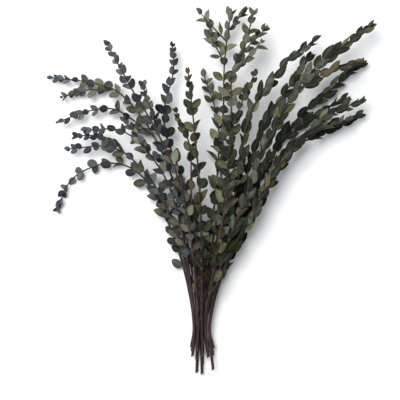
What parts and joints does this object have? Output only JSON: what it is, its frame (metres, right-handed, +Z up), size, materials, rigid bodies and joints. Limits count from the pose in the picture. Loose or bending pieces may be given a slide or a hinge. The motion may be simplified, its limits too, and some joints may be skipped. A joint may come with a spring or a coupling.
{
  "type": "bunch of dried eucalyptus",
  "caption": "Fan-shaped bunch of dried small-leaved eucalyptus branches, lying on a surface with its bare stems together and its leafy tips spread.",
  "frame": {"origin": "middle of the bunch's footprint, on the surface it lies on", "axes": "+Z up from the surface, +Y from the cut ends to the leafy tips, +X to the right seen from above with the tips away from the viewer"},
  "size_m": [0.5369, 0.6006, 0.0988],
  "materials": {
    "leaf_slate": "matte",
    "leaf_olive": "matte",
    "stem": "satin"
  },
  "bodies": {
    "root": {"branch_arch_left": "leaf_slate", "branch_low_left": "leaf_slate", "branch_mid_left": "leaf_slate", "branch_far_left": "leaf_slate", "branch_upper_left": "leaf_slate", "branch_tall_left": "leaf_slate", "branch_inner_left": "leaf_olive", "branch_slim_left": "leaf_olive", "branch_tall_centre": "leaf_olive", "branch_crown_right": "leaf_olive", "branch_crown_left": "leaf_olive", "branch_inner_right": "leaf_olive", "branch_slim_right": "leaf_olive", "branch_plume_right": "leaf_olive", "branch_long_right": "leaf_olive", "branch_broad_right": "leaf_olive", "branch_low_right": "leaf_olive", "branch_edge_right": "leaf_olive"}
  },
  "joints": []
}
